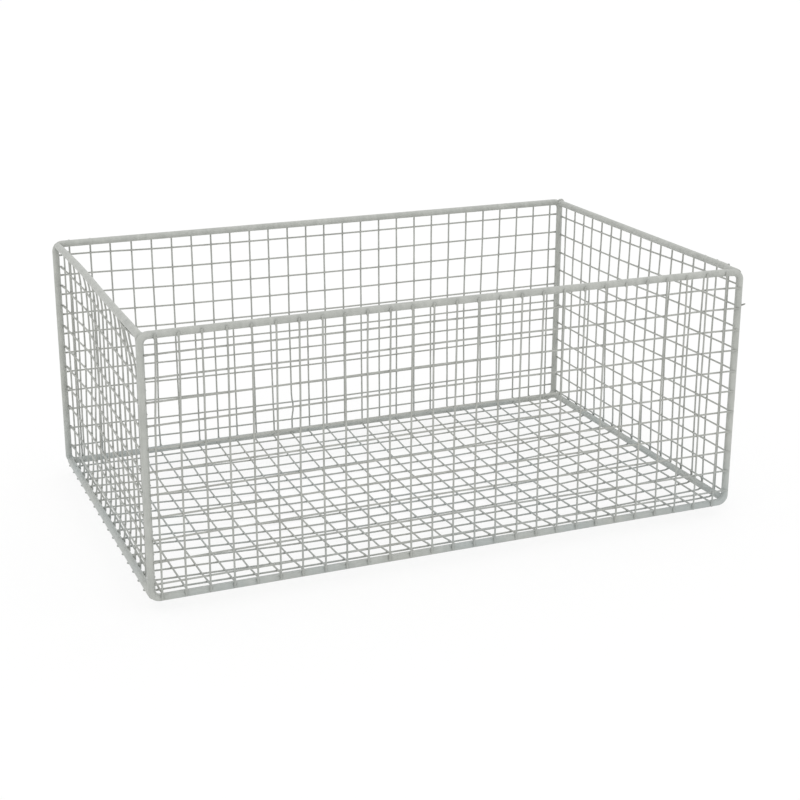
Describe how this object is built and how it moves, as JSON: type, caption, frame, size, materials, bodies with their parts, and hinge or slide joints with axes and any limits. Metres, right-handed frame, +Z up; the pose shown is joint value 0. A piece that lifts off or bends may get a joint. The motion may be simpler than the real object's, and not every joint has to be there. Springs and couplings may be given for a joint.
{
  "type": "wire locker basket",
  "caption": "Open-top rectangular wire basket: a coated rod frame with square welded mesh on four walls and the floor, for storing clothes in a locker.",
  "frame": {"origin": "on the ground under the middle of the basket: the centre of its box's bottom face", "axes": "+X along the length, towards the right wall; +Y towards the rear wall; +Z up, out of the open top"},
  "size_m": [0.5575, 0.3542, 0.2389],
  "materials": {
    "frame_coating": "satin grey-green dipped coating over round steel rod",
    "wire_coating": "satin grey dipped coating over thin steel wire, pooled at the welds"
  },
  "bodies": {
    "root": {"front_frame_loop": "frame_coating", "rear_frame_loop": "frame_coating", "top_left_rod": "frame_coating", "top_right_rod": "frame_coating", "bottom_left_rod": "frame_coating", "bottom_right_rod": "frame_coating", "front_level_wire_01": "wire_coating", "front_level_wire_02": "wire_coating", "front_level_wire_03": "wire_coating", "front_level_wire_04": "wire_coating", "front_level_wire_05": "wire_coating", "front_level_wire_06": "wire_coating", "front_level_wire_07": "wire_coating", "front_level_wire_08": "wire_coating", "front_level_wire_09": "wire_coating", "front_level_wire_10": "wire_coating", "front_level_wire_11": "wire_coating", "rear_level_wire_01": "wire_coating", "rear_level_wire_02": "wire_coating", "rear_level_wire_03": "wire_coating", "rear_level_wire_04": "wire_coating", "rear_level_wire_05": "wire_coating", "rear_level_wire_06": "wire_coating", "rear_level_wire_07": "wire_coating", "rear_level_wire_08": "wire_coating", "rear_level_wire_09": "wire_coating", "rear_level_wire_10": "wire_coating", "rear_level_wire_11": "wire_coating", "left_level_wire_01": "wire_coating", "left_level_wire_02": "wire_coating", "left_level_wire_03": "wire_coating", "left_level_wire_04": "wire_coating", "left_level_wire_05": "wire_coating", "left_level_wire_06": "wire_coating", "left_level_wire_07": "wire_coating", "left_level_wire_08": "wire_coating", "left_level_wire_09": "wire_coating", "left_level_wire_10": "wire_coating", "left_level_wire_11": "wire_coating", "right_level_wire_01": "wire_coating", "right_level_wire_02": "wire_coating", "right_level_wire_03": "wire_coating", "right_level_wire_04": "wire_coating", "right_level_wire_05": "wire_coating", "right_level_wire_06": "wire_coating", "right_level_wire_07": "wire_coating", "right_level_wire_08": "wire_coating", "right_level_wire_09": "wire_coating", "right_level_wire_10": "wire_coating", "right_level_wire_11": "wire_coating", "front_uprights": "wire_coating", "rear_uprights": "wire_coating", "left_uprights": "wire_coating", "right_uprights": "wire_coating", "floor_cross_wires": "wire_coating", "floor_long_wires": "wire_coating"}
  },
  "joints": []
}
